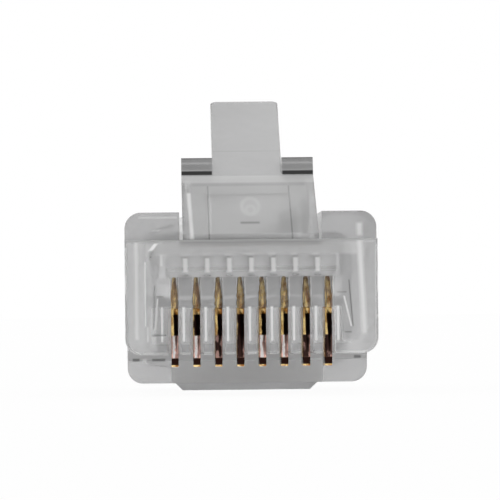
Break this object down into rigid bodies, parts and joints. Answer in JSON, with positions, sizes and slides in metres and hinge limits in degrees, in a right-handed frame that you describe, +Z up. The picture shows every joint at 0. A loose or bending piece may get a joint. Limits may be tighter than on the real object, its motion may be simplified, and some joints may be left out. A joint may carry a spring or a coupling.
{
  "type": "rj45 modular plug",
  "caption": "Clear moulded modular plug for round cable, uncrimped, with sprung latch lever, gold contacts in a slotted comb and crimp bars underneath.",
  "frame": {"origin": "under the middle of the plug, on the surface that its cable end stands on", "axes": "+X to the right seen from the mating face, +Y from the mating face back to the cable entry, +Z up, latch on top"},
  "size_m": [0.0116, 0.0214, 0.0142],
  "materials": {
    "clear_polycarbonate": "clear, smooth moulded polycarbonate with a faint grey tint",
    "gold_plate": "gold flash over stamped phosphor bronze"
  },
  "bodies": {
    "body": {"housing": "clear_polycarbonate"},
    "latch": {"latch_lever": "clear_polycarbonate"},
    "jacket_bar": {"jacket_strain_relief": "clear_polycarbonate"},
    "wire_bar": {"wire_strain_relief": "clear_polycarbonate"},
    "blade_1": {"contact_1": "gold_plate"},
    "blade_2": {"contact_2": "gold_plate"},
    "blade_3": {"contact_3": "gold_plate"},
    "blade_4": {"contact_4": "gold_plate"},
    "blade_5": {"contact_5": "gold_plate"},
    "blade_6": {"contact_6": "gold_plate"},
    "blade_7": {"contact_7": "gold_plate"},
    "blade_8": {"contact_8": "gold_plate"}
  },
  "joints": [
    {"name": "latch_press", "type": "hinge", "parent": "body", "child": "latch", "pos_m": [0, -0.01013, 0.0072], "axis": [-1, 0, 0], "range_deg": [0, 13], "stiffness_Nm_per_rad": 0.3},
    {"name": "jacket_bar_crimp", "type": "hinge", "parent": "body", "child": "jacket_bar", "pos_m": [0, 0.00807, 0.0007], "axis": [-1, 0, 0], "range_deg": [0, 22]},
    {"name": "wire_bar_crimp", "type": "hinge", "parent": "body", "child": "wire_bar", "pos_m": [0, 0.00062, 0.0022], "axis": [-1, 0, 0], "range_deg": [0, 15]},
    {"name": "contact_1_crimp", "type": "slide", "parent": "body", "child": "blade_1", "axis": [0, 0, 1], "range_m": [0, 0.001]},
    {"name": "contact_2_crimp", "type": "slide", "parent": "body", "child": "blade_2", "axis": [0, 0, 1], "range_m": [0, 0.001]},
    {"name": "contact_3_crimp", "type": "slide", "parent": "body", "child": "blade_3", "axis": [0, 0, 1], "range_m": [0, 0.001]},
    {"name": "contact_4_crimp", "type": "slide", "parent": "body", "child": "blade_4", "axis": [0, 0, 1], "range_m": [0, 0.001]},
    {"name": "contact_5_crimp", "type": "slide", "parent": "body", "child": "blade_5", "axis": [0, 0, 1], "range_m": [0, 0.001]},
    {"name": "contact_6_crimp", "type": "slide", "parent": "body", "child": "blade_6", "axis": [0, 0, 1], "range_m": [0, 0.001]},
    {"name": "contact_7_crimp", "type": "slide", "parent": "body", "child": "blade_7", "axis": [0, 0, 1], "range_m": [0, 0.001]},
    {"name": "contact_8_crimp", "type": "slide", "parent": "body", "child": "blade_8", "axis": [0, 0, 1], "range_m": [0, 0.001]}
  ]
}
